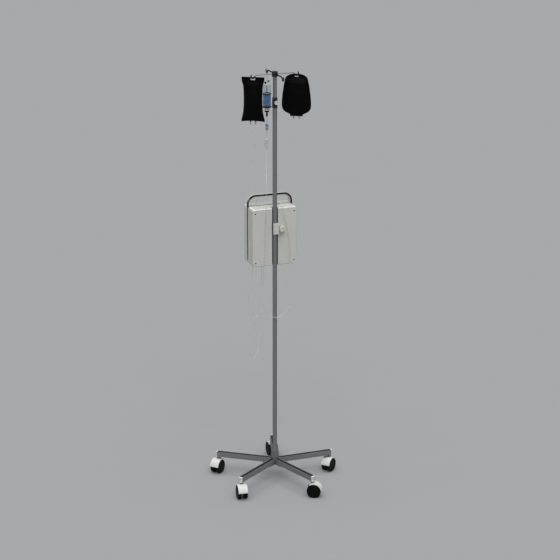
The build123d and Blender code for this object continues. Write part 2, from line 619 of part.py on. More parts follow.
def door_latch():
    """Turning lever on the door, with a cam that turns into a slot in the bay's wall."""
    lever = block((LATCH_X - 6, LATCH_X + 6), (DOOR_Y[0] - 9, DOOR_Y[0] - 2), (LATCH_Z - 24, LATCH_Z + 24))
    lever = fillet(lever.edges(), 2.5) + rod_y(9, (DOOR_Y[0] - 6, DOOR_Y[0] - GAP), LATCH_X, LATCH_Z)
    shaft = rod_y(4, (DOOR_Y[0] - 3, -119.5), LATCH_X, LATCH_Z)
    cam = block((LATCH_X - 4, LATCH_X + 4), (-122.5, -119.5), (LATCH_Z - 4, LATCH_Z + 12))
    return lever + shaft + cam


def door_pin():
    return rod_z(2, (HINGE_EARS[0][0], HINGE_EARS[1][1]), HINGE_X, HINGE_Y)


def clamp_jaw():
    """Block across the groove that presses the pole inwards, with an arm that the screw passes through."""
    front = LOWER_TUBE_R + RUN
    side = -LOWER_TUBE_R - 0.3
    pad = fillet(block((-12.5, 14), (front, 27), CLAMP_Z).edges().filter_by(Axis.Z), 1.5)
    arm = block((-46, side), (CASE_BACK + 1, 12), (CLAMP_Z[0] + 6, CLAMP_Z[1] - 14))
    bridge = block((-13.2, side), (CASE_BACK + 1, 20), (CLAMP_Z[0] + 6, CLAMP_Z[1] - 14))
    return pad + arm + bridge - rod_y(4 + RUN, (0, 20), CLAMP_KNOB_X, CLAMP_KNOB_Z)


def clamp_knob():
    """Round hand knob with stepped rings, on its screw."""
    knob = fillet(rod_y(CLAMP_KNOB_R, (15, 27), CLAMP_KNOB_X, CLAMP_KNOB_Z).edges(), 1.5)
    knob += rod_y(11, (26, 29), CLAMP_KNOB_X, CLAMP_KNOB_Z)
    knob += rod_y(6, (12 + GAP, 16), CLAMP_KNOB_X, CLAMP_KNOB_Z)
    knob -= rod_y(7, (28, 30), CLAMP_KNOB_X, CLAMP_KNOB_Z)
    return knob + rod_y(4, (-24, 16), CLAMP_KNOB_X, CLAMP_KNOB_Z)


def clamp_pad():
    """Rubber seat in the groove's floor, hollowed to the pole."""
    pad = block((-GROOVE_HALF + GAP, GROOVE_HALF - GAP), (GROOVE_FLOOR, -4), CLAMP_Z)
    return pad - rod_z(LOWER_TUBE_R + RUN, (CLAMP_Z[0] - 1, CLAMP_Z[1] + 1))


def case_screw(x, z):
    return rod_y(3.8, (-36, -40), x, z) + rod_y(1.9, (-39, -100), x, z) - rod_y(1.5, (-35, -38), x, z)


# ---------------------------------------------------------------- assembly

def all_parts():
    parts = {"base_hub": base_hub()}
    leg, hood = base_leg(), caster_hood()
    wheels = [caster_wheel(-1), caster_wheel(1)]
    for number, (angle, heading) in enumerate(zip(LEG_ANGLES, CASTER_HEADINGS), start=1):
        swivel = polar(angle, STEM_REACH) * Rot(0, 0, heading)
        parts[f"base_leg_{number}"] = Rot(0, 0, angle) * leg
        parts[f"caster_hood_{number}"] = swivel * hood
        parts[f"caster_wheels_{number}"] = group(swivel * wheel for wheel in wheels)
    for name, make in (("leg_end_plugs", leg_end_plug), ("leg_bolts", leg_bolt)):
        piece = make()
        parts[name] = group(Rot(0, 0, angle) * piece for angle in LEG_ANGLES)
    stem = caster_stem()
    parts["caster_stems"] = group(polar(angle, STEM_REACH) * stem for angle in LEG_ANGLES)
    arm = hook_arm()
    parts["hook_arms"] = group(Rot(0, 0, angle) * arm for angle in (0, 90, 180, 270))
    for make in (pole_socket, lower_tube, height_collar, collar_knob, upper_tube, hook_head, bag_left,
                 bag_right, burette_cap, burette_cylinder, burette_fluid, burette_base, drip_chamber,
                 roller_clamp, roller_wheel, burette_line, supply_line, patient_line, rear_case,
                 trim_band, front_case,
                 pump_rotor, motor_pinion, pump_motor, circuit_board, battery_pack, display_window,
                 door, door_latch, door_pin, clamp_jaw, clamp_knob, clamp_pad):
        parts[make.__name__] = make()
    parts["bag_left_ports"] = group(bag_ports(1, 12, 1866))
    parts["bag_right_ports"] = group(bag_ports(-1, 14, 1877))
    parts["pump_rollers"] = group(pump_rollers())
    parts["case_screws"] = group(case_screw(x, z) for x, z in SCREW_CORNERS)
    for name, place in KEYS.items():
        parts[name] = control_key(place)
    return parts


os.makedirs("parts", exist_ok=True)
for name, shape in all_parts().items():
    export_step(shape, f"parts/{name}.step")
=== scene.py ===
import json
from math import cos, exp, pi, radians, sin

import bmesh
import bpy
from mathutils import Matrix, Vector, noise


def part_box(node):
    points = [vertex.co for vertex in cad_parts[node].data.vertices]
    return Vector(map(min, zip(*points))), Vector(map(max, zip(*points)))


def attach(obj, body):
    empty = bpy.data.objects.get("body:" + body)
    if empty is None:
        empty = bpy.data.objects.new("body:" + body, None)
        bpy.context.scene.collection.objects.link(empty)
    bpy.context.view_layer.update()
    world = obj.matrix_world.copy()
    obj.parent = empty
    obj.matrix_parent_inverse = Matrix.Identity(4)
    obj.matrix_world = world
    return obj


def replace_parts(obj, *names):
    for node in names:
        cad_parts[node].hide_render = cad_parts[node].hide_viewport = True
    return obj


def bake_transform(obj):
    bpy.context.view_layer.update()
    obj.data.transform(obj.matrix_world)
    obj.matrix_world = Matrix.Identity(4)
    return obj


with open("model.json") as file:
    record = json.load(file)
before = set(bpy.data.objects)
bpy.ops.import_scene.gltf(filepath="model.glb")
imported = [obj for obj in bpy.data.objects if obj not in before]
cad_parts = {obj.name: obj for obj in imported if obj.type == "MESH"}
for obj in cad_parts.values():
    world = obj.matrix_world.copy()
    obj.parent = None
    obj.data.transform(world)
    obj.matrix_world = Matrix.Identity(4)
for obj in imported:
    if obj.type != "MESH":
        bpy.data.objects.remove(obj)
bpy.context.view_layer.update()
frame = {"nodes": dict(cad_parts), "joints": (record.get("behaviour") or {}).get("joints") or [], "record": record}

MM = 0.001

# ------------------------------------------------------------------ materials


class Surface:
    """A procedural material: one Principled shader, with its colour, roughness and bump made by nodes."""

    def __init__(self, name, color, rough, metal=0.0):
        self.mat = bpy.data.materials.new(name)
        self.mat.use_nodes = True
        self.mat.diffuse_color = (*color, 1)
        self.tree = self.mat.node_tree
        self.bsdf = self.tree.nodes["Principled BSDF"]
        self.output = self.tree.nodes["Material Output"]
        self.bsdf.inputs["Metallic"].default_value = metal
        self.color = self.value_color(color)
        self.rough = self.value(rough)
        self.normal = None
        self.place = self.node("ShaderNodeTexCoord").outputs["Object"]

    def node(self, kind, **settings):
        made = self.tree.nodes.new(kind)
        for key, value in settings.items():
            setattr(made, key, value)
        return made

    def link(self, source, target):
        self.tree.links.new(source, target)

    def value(self, number):
        made = self.node("ShaderNodeValue")
        made.outputs[0].default_value = number
        return made.outputs[0]

    def value_color(self, color):
        made = self.node("ShaderNodeRGB")
        made.outputs[0].default_value = (*color, 1)
        return made.outputs[0]

    def scaled(self, stretch):
        mapping = self.node("ShaderNodeMapping")
        mapping.inputs["Scale"].default_value = stretch
        self.link(self.place, mapping.inputs["Vector"])
        return mapping.outputs[0]

    def noise(self, scale, detail=3.0, stretch=(1, 1, 1), low=0.35, high=0.65):
        """Noise between 0 and 1, with its contrast raised between low and high."""
        made = self.node("ShaderNodeTexNoise")
        made.inputs["Scale"].default_value = scale
        made.inputs["Detail"].default_value = detail
        self.link(self.scaled(stretch), made.inputs["Vector"])
        spread = self.node("ShaderNodeMapRange")
        spread.inputs["From Min"].default_value = low
        spread.inputs["From Max"].default_value = high
        self.link(made.outputs["Fac"], spread.inputs["Value"])
        return spread.outputs[0]

    def math(self, operation, a, b):
        made = self.node("ShaderNodeMath", operation=operation)
        for source, target in zip((a, b), made.inputs):
            if isinstance(source, (int, float)):
                target.default_value = source
            else:
                self.link(source, target)
        return made.outputs[0]

    def tint(self, mask, color, amount=1.0):
        """Moves the colour towards another one where the mask is 1."""
        mix = self.node("ShaderNodeMix", data_type="RGBA")
        self.link(self.math("MULTIPLY", mask, amount), mix.inputs["Factor"])
        self.link(self.color, mix.inputs["A"])
        mix.inputs["B"].default_value = (*color, 1)
        self.color = mix.outputs["Result"]
        return self

    def roughen(self, mask, amount):
        self.rough = self.math("ADD", self.rough, self.math("MULTIPLY", mask, amount))
        return self

    def bump(self, height, depth, strength=1.0):
        """Adds relief: depth is the height of the relief in metres."""
        made = self.node("ShaderNodeBump")
        made.inputs["Distance"].default_value = depth
        made.inputs["Strength"].default_value = strength
        self.link(height, made.inputs["Height"])
        if self.normal is not None:
            self.link(self.normal, made.inputs["Normal"])
        self.normal = made.outputs["Normal"]
        return self

    def soft_edges(self, radius):
        """Rounds sharp edges in the shading."""
        bevel = self.node("ShaderNodeBevel", samples=4)
        bevel.inputs["Radius"].default_value = radius
        self.normal = bevel.outputs["Normal"]
        return self

    def edge_highlight_mask(self, radius):
        """1 on edges and 0 on flat faces, broken up by noise so that the painted highlight along them looks
        uneven.
        """
        bevel = self.node("ShaderNodeBevel", samples=4)
        bevel.inputs["Radius"].default_value = radius
        flat = self.node("ShaderNodeNewGeometry")
        dot = self.node("ShaderNodeVectorMath", operation="DOT_PRODUCT")
        self.link(bevel.outputs["Normal"], dot.inputs[0])
        self.link(flat.outputs["Normal"], dot.inputs[1])
        edge = self.math("SUBTRACT", 1.0, dot.outputs["Value"])
        lifted = self.math("MULTIPLY", edge, 6.0)
        broken = self.math("MULTIPLY", lifted, self.noise(60, 4, low=0.3, high=0.6))
        return self.math("MINIMUM", broken, 1.0)

    def height_mask(self, low, high):
        """Rises from 0 to 1 between two heights."""
        split = self.node("ShaderNodeSeparateXYZ")
        self.link(self.place, split.inputs[0])
        spread = self.node("ShaderNodeMapRange")
        spread.inputs["From Min"].default_value = low
        spread.inputs["From Max"].default_value = high
        self.link(split.outputs["Z"], spread.inputs["Value"])
        return spread.outputs[0]

    def band_mask(self, low, high, soft=0.0002):
        """1 between two heights."""
        return self.math("MULTIPLY", self.height_mask(low, low + soft),
                         self.math("SUBTRACT", 1.0, self.height_mask(high - soft, high)))

    def crevice_shade(self, reach, amount, half=None):
        """Paints shade into corners and crevices that little light reaches; half limits it to that far from X = 0.
        """
        shade = self.node("ShaderNodeAmbientOcclusion", samples=6)
        shade.inputs["Distance"].default_value = reach
        if self.normal is not None:
            self.link(self.normal, shade.inputs["Normal"])
        spread = self.node("ShaderNodeMapRange")
        spread.inputs["From Min"].default_value = 0.75
        spread.inputs["From Max"].default_value = 0.15
        self.link(shade.outputs["AO"], spread.inputs["Value"])
        mask = spread.outputs[0]
        if half:
            split = self.node("ShaderNodeSeparateXYZ")
            self.link(self.place, split.inputs[0])
            inside = self.math("LESS_THAN", self.math("ABSOLUTE", split.outputs["X"], 0.0), half)
            mask = self.math("MULTIPLY", mask, inside)
        return self.tint(mask, (0.01, 0.01, 0.01), amount)

    def done(self, **inputs):
        self.link(self.color, self.bsdf.inputs["Base Color"])
        self.link(self.rough, self.bsdf.inputs["Roughness"])
        if self.normal is not None:
            self.link(self.normal, self.bsdf.inputs["Normal"])
        for key, value in inputs.items():
            self.bsdf.inputs[key].default_value = value
        return self.mat


def plastic(name, color, rough, grain=0.00004, edge=None, dirt=0.12, gap_shade=0.0, shine=0.5, bands=(),
            half=None):
    """Moulded plastic with a fine grain, faint blotches, painted highlights along its edges, paler bands painted
    as highlights, and painted shade in corners and crevices.
    """
    s = Surface(name, color, rough).soft_edges(0.0007)
    darker = tuple(c * 0.72 for c in color)
    s.tint(s.noise(9, 4), darker, dirt)
    s.tint(s.noise(240, 2, low=0.45, high=0.7), darker, dirt * 0.6)
    # painted highlight along the edges
    if edge:
        s.tint(s.edge_highlight_mask(0.0012), edge, 0.55)
    # paler bands: painted highlights
    for low, high, pale in bands:
        s.tint(s.band_mask(low, high, 0.001), pale)
    # painted shade in corners and crevices
    if gap_shade:
        s.crevice_shade(gap_shade, 0.9, half=half)
    s.roughen(s.noise(35, 4), 0.12)
    s.bump(s.noise(1500, 2, low=0.2, high=0.8), grain)
    return s.done(**{"Specular IOR Level": shine})


def brushed(name, color, rough, stretch, metal=1.0, streak=0.25):
    """Metal with fine lines along one direction, painted shade where it turns away at a slant, cloudy patches and
    painted highlights along its edges.
    """
    s = Surface(name, color, rough, metal).soft_edges(0.0005)
    # painted shade where the surface turns away from view
    slant = s.node("ShaderNodeLayerWeight")
    slant.inputs["Blend"].default_value = 0.4
    s.tint(slant.outputs["Facing"], tuple(c * 0.3 for c in color), 0.7)
    lines = s.noise(420, 3, stretch, 0.3, 0.7)
    s.tint(lines, tuple(c * 0.72 for c in color), streak)
    s.tint(s.noise(7, 3), tuple(c * 0.8 for c in color), 0.25)
    # painted highlight along the edges
    s.tint(s.edge_highlight_mask(0.0009), tuple(min(1, c * 1.6) for c in color), 0.5)
    s.roughen(lines, 0.1)
    s.roughen(s.noise(16, 3), 0.06)
    s.bump(lines, 0.00003)
    return s.done()


def clear(name, tint, body=0.08, rough=0.06, edge=0.75, bands=()):
    """Thin clear plastic, tinted at a slant. Each band is (low, high, colour, strength)."""
    s = Surface(name, tint, rough)
    s.roughen(s.noise(40, 3), 0.05)
    s.bump(s.noise(90, 3), 0.00005)
    through = s.node("ShaderNodeBsdfTransparent")
    through.inputs["Color"].default_value = (*(1 - (1 - c) * 0.12 for c in tint), 1)
    slant = s.node("ShaderNodeLayerWeight")
    slant.inputs["Blend"].default_value = 0.32
    shown = s.math("ADD", s.math("MULTIPLY", slant.outputs["Facing"], edge), body)
    for low, high, color, strength in bands:
        band = s.band_mask(low, high)
        s.tint(band, color)
        shown = s.math("MAXIMUM", shown, s.math("MULTIPLY", band, strength))
    mix = s.node("ShaderNodeMixShader")
    s.link(shown, mix.inputs["Fac"])
    s.link(through.outputs[0], mix.inputs[1])
    s.done(**{"Specular IOR Level": 0.6, "Coat Weight": 0.3})
    s.link(s.bsdf.outputs[0], mix.inputs[2])
    s.link(mix.outputs[0], s.output.inputs["Surface"])
    return s.mat


def liquid(name, color):
    """Coloured liquid in a round vessel: painted upright streaks of reflected light, and painted shade towards its
    sides.
    """
    s = Surface(name, color, 0.12)
    # painted reflections: pale upright streaks
    s.tint(s.noise(150, 2, (1, 1, 0.01), 0.45, 0.6), (0.42, 0.62, 0.86), 0.8)
    # painted shade towards the sides
    slant = s.node("ShaderNodeLayerWeight")
    slant.inputs["Blend"].default_value = 0.35
    s.tint(slant.outputs["Facing"], tuple(c * 0.3 for c in color), 0.75)
    return s.done(**{"Transmission Weight": 0.08, "IOR": 1.33, "Coat Weight": 0.4})


def banded(name, color, pale, bands):
    """Glossy plastic with rings of a paler colour between the given heights."""
    s = Surface(name, color, 0.3).soft_edges(0.0005)
    for low, high in bands:
        s.tint(s.band_mask(low, high), pale)
    s.tint(s.noise(30, 3), (0.0, 0.0, 0.0), 0.12)
    s.roughen(s.noise(60, 3), 0.1)
    s.bump(s.noise(1200, 2), 0.00002)
    return s.done(**{"Specular IOR Level": 0.2})


def extrusion(name, color, top):
    """Anodised leg: painted shade in the channel along its top and on the lips beside it, painted highlights along
    its edges, and a dark line along its sides with a paler line above it.
    """
    s = Surface(name, color, 0.45, 0.35).soft_edges(0.0004)
    lines = s.noise(300, 3, (0.3, 0.3, 1), 0.3, 0.7)
    s.tint(lines, tuple(c * 0.8 for c in color), 0.3)
    s.tint(s.noise(9, 3), tuple(c * 0.8 for c in color), 0.3)
    # painted shade in corners and crevices
    s.crevice_shade(0.03, 0.6)
    # lips along the top painted dark, widening the painted shade of the channel
    s.tint(s.band_mask(top - 0.0009, top + 0.001), (0.15, 0.153, 0.157))
    # painted highlight along the edges
    s.tint(s.edge_highlight_mask(0.0016), (0.62, 0.63, 0.64), 0.9)
    # dark line along the sides, with a paler line above it
    s.tint(s.band_mask(top - 0.0135, top - 0.0122), tuple(c * 0.3 for c in color), 0.9)
    s.tint(s.band_mask(top - 0.0122, top - 0.0108), tuple(c * 1.5 for c in color), 0.8)
    # painted shade in the channel along the top
    channel_shade = s.band_mask(top - 0.0022, top - 0.0011)
    s.tint(channel_shade, (0.006, 0.007, 0.008))
    s.roughen(lines, 0.12)
    s.roughen(channel_shade, 0.2)
    s.bump(lines, 0.00002)
    return s.done()


def glowing(name, color):
    """Backlit display segments, slightly uneven."""
    s = Surface(name, color, 0.4)
    s.tint(s.noise(220, 2), tuple(c * 0.7 for c in color), 0.4)
    s.link(s.color, s.bsdf.inputs["Emission Color"])
    return s.done(**{"Emission Strength": 0.9})


def film(name, color):
    """Glossy vinyl film with fine crinkles, coloured paler along them as a painted sheen."""
    s = Surface(name, color, 0.36)
    crinkle_and_sheen = s.noise(70, 5, (1, 1, 0.6), 0.3, 0.7)
    # painted sheen: paler colour along the crinkles
    s.tint(crinkle_and_sheen, tuple(c * 1.7 for c in color), 0.35)
    s.roughen(s.noise(25, 4), 0.16)
    s.bump(s.noise(180, 4, low=0.2, high=0.8), 0.0002, 0.6)
    s.bump(crinkle_and_sheen, 0.0005, 0.5)
    return s.done(**{"Specular IOR Level": 0.07})


def board_green(name):
    """Solder mask with fine copper tracks under it."""
    s = Surface(name, (0.02, 0.12, 0.05), 0.35)
    brick = s.node("ShaderNodeTexBrick")
    brick.inputs["Scale"].default_value = 160
    s.link(s.place, brick.inputs["Vector"])
    s.tint(brick.outputs["Fac"], (0.05, 0.26, 0.10), 0.8)
    s.bump(brick.outputs["Fac"], 0.0001)
    return s.done(**{"Coat Weight": 0.4})


GROOVE_HALF = 16.5 * MM      # half width of the pole's groove in the case


def make_materials():
    along_z = (1, 1, 0.012)
    case = (0.60, 0.60, 0.555)
    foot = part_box("burette_base")[1].z - 6 * MM
    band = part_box("burette_cylinder")[1].z
    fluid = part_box("burette_fluid")
    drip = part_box("drip_chamber")[0].z
    case_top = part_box("rear_case")[1].z
    near_black = (0.012, 0.014, 0.02)
    vessel = (
        (band - 0.0472, band - 0.0422, near_black, 1.0),                 # float ring in the burette
        (fluid[0].z, fluid[1].z, (0.13, 0.30, 0.60), 0.3),               # wall in front of the liquid
        (drip + 0.012, drip + 0.035, (0.34, 0.45, 0.68), 0.35),          # filled part of the drip chamber
        (drip + 0.012, drip + 0.0145, near_black, 0.9),                  # drip chamber's two rings
        (drip + 0.0325, drip + 0.0355, near_black, 0.9),
    )
    return {
        "leg_aluminium": extrusion("leg_aluminium", (0.215, 0.22, 0.225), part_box("base_leg_1")[1].z),
        # hub: painted highlights along its edges and painted shade in its crevices
        "hub_casting": plastic("hub_casting", (0.14, 0.145, 0.15), 0.5, 0.0001, (0.5, 0.51, 0.52), gap_shade=0.03),
        # metals: painted shade at a slant and painted highlights along their edges
        "tube_steel": brushed("tube_steel", (0.28, 0.285, 0.29), 0.38, along_z, 0.75),
        "bright_steel": brushed("bright_steel", (0.28, 0.285, 0.29), 0.3, along_z, 0.8, 0.12),
        "pale_metal": brushed("pale_metal", (0.72, 0.73, 0.74), 0.35, (0.02, 1, 0.02), 0.3, 0.12),
        # white plastic: painted highlights along its edges and painted shade in its crevices
        "white_plastic": plastic("white_plastic", (0.68, 0.68, 0.665), 0.36, 0.00003, (0.92, 0.92, 0.91),
                                 0.08, gap_shade=0.02),
        # black and dark plastics: painted highlights along their edges
        "black_wheel": plastic("black_wheel", (0.0016, 0.0016, 0.0018), 0.45, 0.00008,
                               (0.006, 0.006, 0.0065), shine=0.13),
        "dark_plastic": plastic("dark_plastic", (0.018, 0.019, 0.021), 0.45, 0.00005, (0.07, 0.075, 0.08),
                                shine=0.3),
        # case: painted highlights along its edges and its rounded top edge, and painted shade in the pole's groove
        "case_plastic": plastic("case_plastic", case, 0.5, 0.00008, (0.90, 0.90, 0.87), 0.1, gap_shade=0.045,
                                half=GROOVE_HALF,
                                bands=((case_top - 0.0035, case_top - 0.0003, (0.98, 0.98, 0.96)),)),
        "trim_black": plastic("trim_black", (0.0016, 0.0018, 0.002), 0.5, 0.00004, shine=0.1),
        # bag film: painted sheen on its crinkles
        "bag_film": film("bag_film", (0.0006, 0.0006, 0.0007)),
        "port_plastic": plastic("port_plastic", (0.26, 0.27, 0.28), 0.4),
        "clear_plastic": clear("clear_plastic", (0.66, 0.70, 0.74), 0.05, bands=vessel),
        # liquid: painted reflections and painted shade
        "blue_fluid": liquid("blue_fluid", (0.16, 0.35, 0.68)),
        "navy_plastic": banded("navy_plastic", (0.010, 0.012, 0.035), (0.96, 0.97, 0.99),
                               ((foot - 0.0120, foot - 0.0062), (foot - 0.0200, foot - 0.0142))),
        "line_plastic": clear("line_plastic", (0.84, 0.86, 0.87), 0.08, 0.12, 0.5),
        "clamp_white": plastic("clamp_white", (0.66, 0.69, 0.72), 0.35),
        "rubber_pad": plastic("rubber_pad", (0.02, 0.02, 0.02), 0.75, 0.0001),
        "board": board_green("board"),
        "battery_wrap": plastic("battery_wrap", (0.05, 0.09, 0.16), 0.3),
        # motor: painted shade at a slant and painted highlights along its edges
        "motor_steel": brushed("motor_steel", (0.5, 0.5, 0.52), 0.3, (1, 0.02, 1)),
        "gear_plastic": plastic("gear_plastic", (0.62, 0.58, 0.50), 0.45),
        "display_glass": plastic("display_glass", (0.012, 0.022, 0.024), 0.08, 0.0),
        # keys: painted highlights along their edges
        "key_plastic": plastic("key_plastic", (0.10, 0.14, 0.19), 0.5, 0.00005, (0.25, 0.3, 0.36)),
        "lit": glowing("lit", (0.35, 0.85, 0.62)),
    }


def dress_frame(materials):
    """Gives every CAD node the material of its slot, or a paler one for the collar's knob and the screws."""
    looks = {"collar_knob": "pale_metal", "case_screws": "pale_metal"}
    for entry in frame["record"]["subparts"]:
        node = frame["nodes"][entry["node"]]
        node.data.materials.clear()
        node.data.materials.append(materials[looks.get(entry["node"], entry["material_slot"])])


# ------------------------------------------------------------------ mesh helpers

def mesh_object(name, bm, material, smooth=True):
    mesh = bpy.data.meshes.new(name)
    bmesh.ops.recalc_face_normals(bm, faces=bm.faces)
    bm.to_mesh(mesh)
    bm.free()
    made = bpy.data.objects.new(name, mesh)
    bpy.context.collection.objects.link(made)
    mesh.materials.append(material)
    if smooth:
        mesh.shade_smooth()
    return made


def piece(name, bm, slot, body, smooth=True, look=None):
    """Visible piece of a material slot. Its look is the slot's own unless another is named."""
    made = mesh_object(name, bm, materials[look or slot], smooth)
    if body:
        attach(made, body)
    return made


def soften(made, width):
    """Bevels sharp edges."""
    bevel = made.modifiers.new("edges", "BEVEL")
    bevel.width = width
    bevel.segments = 2
    bevel.limit_method = "ANGLE"
    bevel.angle_limit = radians(35)
    bevel.harden_normals = True
    return made


def smooth_path(points):
    """Points along a curve through the given ones."""
    steps = 10
    knots = [Vector(p) for p in points]
    ends = [2 * knots[0] - knots[1]] + knots + [2 * knots[-1] - knots[-2]]
    path = []
    for a, b, c, d in zip(ends, ends[1:], ends[2:], ends[3:]):
        for step in range(steps):
            t = step / steps
            path.append(0.5 * (2 * b + (c - a) * t + (2 * a - 5 * b + 4 * c - d) * t ** 2
                               + (3 * b - a - 3 * c + d) * t ** 3))
    path.append(knots[-1])
    return path


def join_rings(bm, one, two):
    count = len(one)
    for k in range(count):
        bm.faces.new((one[k], one[(k + 1) % count], two[(k + 1) % count], two[k]))


def tube(name, path, radius, bore, slot, body=None, sides=12):
    """Round tube with a bore, along a list of points."""
    bm = bmesh.new()
    across = (path[1] - path[0]).normalized().orthogonal().normalized()
    turns = [2 * pi * k / sides for k in range(sides)]
    rings = []
    for i, point in enumerate(path):
        along = (path[min(i + 1, len(path) - 1)] - path[max(i - 1, 0)]).normalized()
        across = (across - along * across.dot(along)).normalized()
        other = along.cross(across)
        rings.append([[bm.verts.new(point + r * (across * cos(t) + other * sin(t))) for t in turns]
                      for r in (radius, bore)])
    for first, second in zip(rings, rings[1:]):
        for one, two in zip(first, second):
            join_rings(bm, one, two)
    for outer, inner in (rings[0], rings[-1]):
        join_rings(bm, outer, inner)
    return piece(name, bm, slot, body)


def lathe(bm, profile, place, axis, sides=48):
    """Closed turned ring: the profile lists (radius, distance along the axis)."""
    move = Matrix.Translation(Vector(place)) @ Vector(axis).to_track_quat("Z", "Y").to_matrix().to_4x4()
    rings = [[bm.verts.new(move @ Vector((r * cos(2 * pi * k / sides), r * sin(2 * pi * k / sides), z)))
              for k in range(sides)] for r, z in profile]
    for one, two in zip(rings, rings[1:] + rings[:1]):
        join_rings(bm, one, two)


def in_mm(profile):
    """A profile in mm, as metres."""
    return [(r * MM, z * MM) for r, z in profile]


def rounded_outline(width, height, corner, steps=5):
    """Rounded rectangle as (x, y) points, centred on the origin."""
    points = []
    for quarter, (sx, sy) in enumerate(((1, 1), (-1, 1), (-1, -1), (1, -1))):
        for step in range(steps + 1):
            angle = pi / 2 * (quarter + step / steps)
            points.append((sx * (width / 2 - corner) + corner * cos(angle),
                           sy * (height / 2 - corner) + corner * sin(angle)))
    return points


def shifted(outline, x, y):
    """The outline moved so that its centre is at x, y."""
    return [(x + a, y + b) for a, b in outline]


def slab(bm, outline, low, high, place):
    """Prism over a flat outline of (x, y) points, between two heights."""
    bottom = [bm.verts.new(place @ Vector((x, y, low))) for x, y in outline]
    top = [bm.verts.new(place @ Vector((x, y, high))) for x, y in outline]
    join_rings(bm, bottom, top)
    bm.faces.new(bottom)
    bm.faces.new(top)


def facing_front(x, y, z):
    """Local X to the right, Y up and Z out of the pump's front, for things that lie on it."""
    return Matrix.Translation((x, y, z)) @ Matrix(((1, 0, 0, 0), (0, 0, -1, 0), (0, 1, 0, 0), (0, 0, 0, 1)))


def joint(name):
    """A joint's place and axis at rest."""
    found = next(j for j in frame["joints"] if j["name"] == name)
    return Vector(found.get("pos_m", (0, 0, 0))), Vector(found["axis"]).normalized()


# ------------------------------------------------------------------ bags

SEAM = 5 * MM               # welded border round a bag
FILM = 0.45 * MM            # one sheet
BAG_TURN = Matrix.Rotation(radians(-30), 4, "Z")
BAG_COLUMNS = 20            # columns of faces on each side of a bag's middle
SLOT_COLUMNS = 4            # of those, the ones across the slot for the hook
ROW_STEP = 3.2 * MM
ARCH_TALL = 60 * MM         # height over which a bag's arched bottom fades out
PUCKER_DEPTH = 0.9 * MM
PUCKER_REACH = 9 * MM       # how far the puckers run in from the border
DENT_DEPTH = 1.6 * MM

# Half width and half thickness against height, both in mm, from the top down.
LEFT_HALF = ((2083, 56), (2070, 55.5), (2058, 53.5), (2044, 48.5), (2025, 46.5), (1985, 45.3),
             (1945, 45.8), (1912, 48.5), (1892, 52.5), (1875, 57.0), (1865, 57.5))
LEFT_PAD = ((2062, 0), (2042, 7), (2005, 13), (1965, 15.5), (1925, 14.5), (1895, 9), (1872, 0))
RIGHT_HALF = ((2084, 14), (2082.5, 24), (2080, 33), (2076, 41), (2071, 48), (2066, 53), (2058, 55.5),
              (2030, 62), (1990, 68), (1954, 71.5), (1930, 72.5), (1914, 70), (1901, 62), (1893, 50),
              (1888, 38), (1884, 31), (1875.5, 30.5))
RIGHT_PAD = ((2064, 0), (2040, 11), (1990, 17.5), (1949, 18.5), (1914, 13), (1889, 0))


def value_at(points, z):
    """Value at a height, both in metres, on straight lines between (height, value) points in mm."""
    if z >= points[0][0] * MM:
        return points[0][1] * MM
    if z <= points[-1][0] * MM:
        return points[-1][1] * MM
    for (z0, w0), (z1, w1) in zip(points, points[1:]):
        if z >= z1 * MM:
            t = (z0 * MM - z) / ((z0 - z1) * MM)
            return (w0 + (w1 - w0) * t) * MM


def spaced(marks, step):
    """Values from the first mark to the last, no further apart than about a step, through every mark."""
    values = []
    for a, b in zip(marks, marks[1:]):
        count = max(1, round((b - a) / step))
        values += [a + (b - a) * k / count for k in range(count)]
    return values + [marks[-1]]


def film_offset(u, z, inside, pad, half):
    """Half thickness of a filled bag at a point, with puckers that run in from the welded border."""
    across = min(1.0, abs(u) / max(half - SEAM, 1e-4))
    swell = pad * (1 - across ** 2.4) ** 0.62
    wave = sin(z * 620 + 2.2 * noise.noise(Vector((u * 60, 0, z * 40)))) * sin(u * 480 + z * 90)
    pucker = PUCKER_DEPTH * wave * exp(-max(0.0, inside - SEAM) / PUCKER_REACH)
    dent = DENT_DEPTH * noise.noise(Vector((u * 22, 3.0, z * 16))) * min(1.0, pad / (8 * MM))
    return swell + (pucker + dent) * min(1.0, max(0.0, (inside - SEAM) / (4 * MM)))


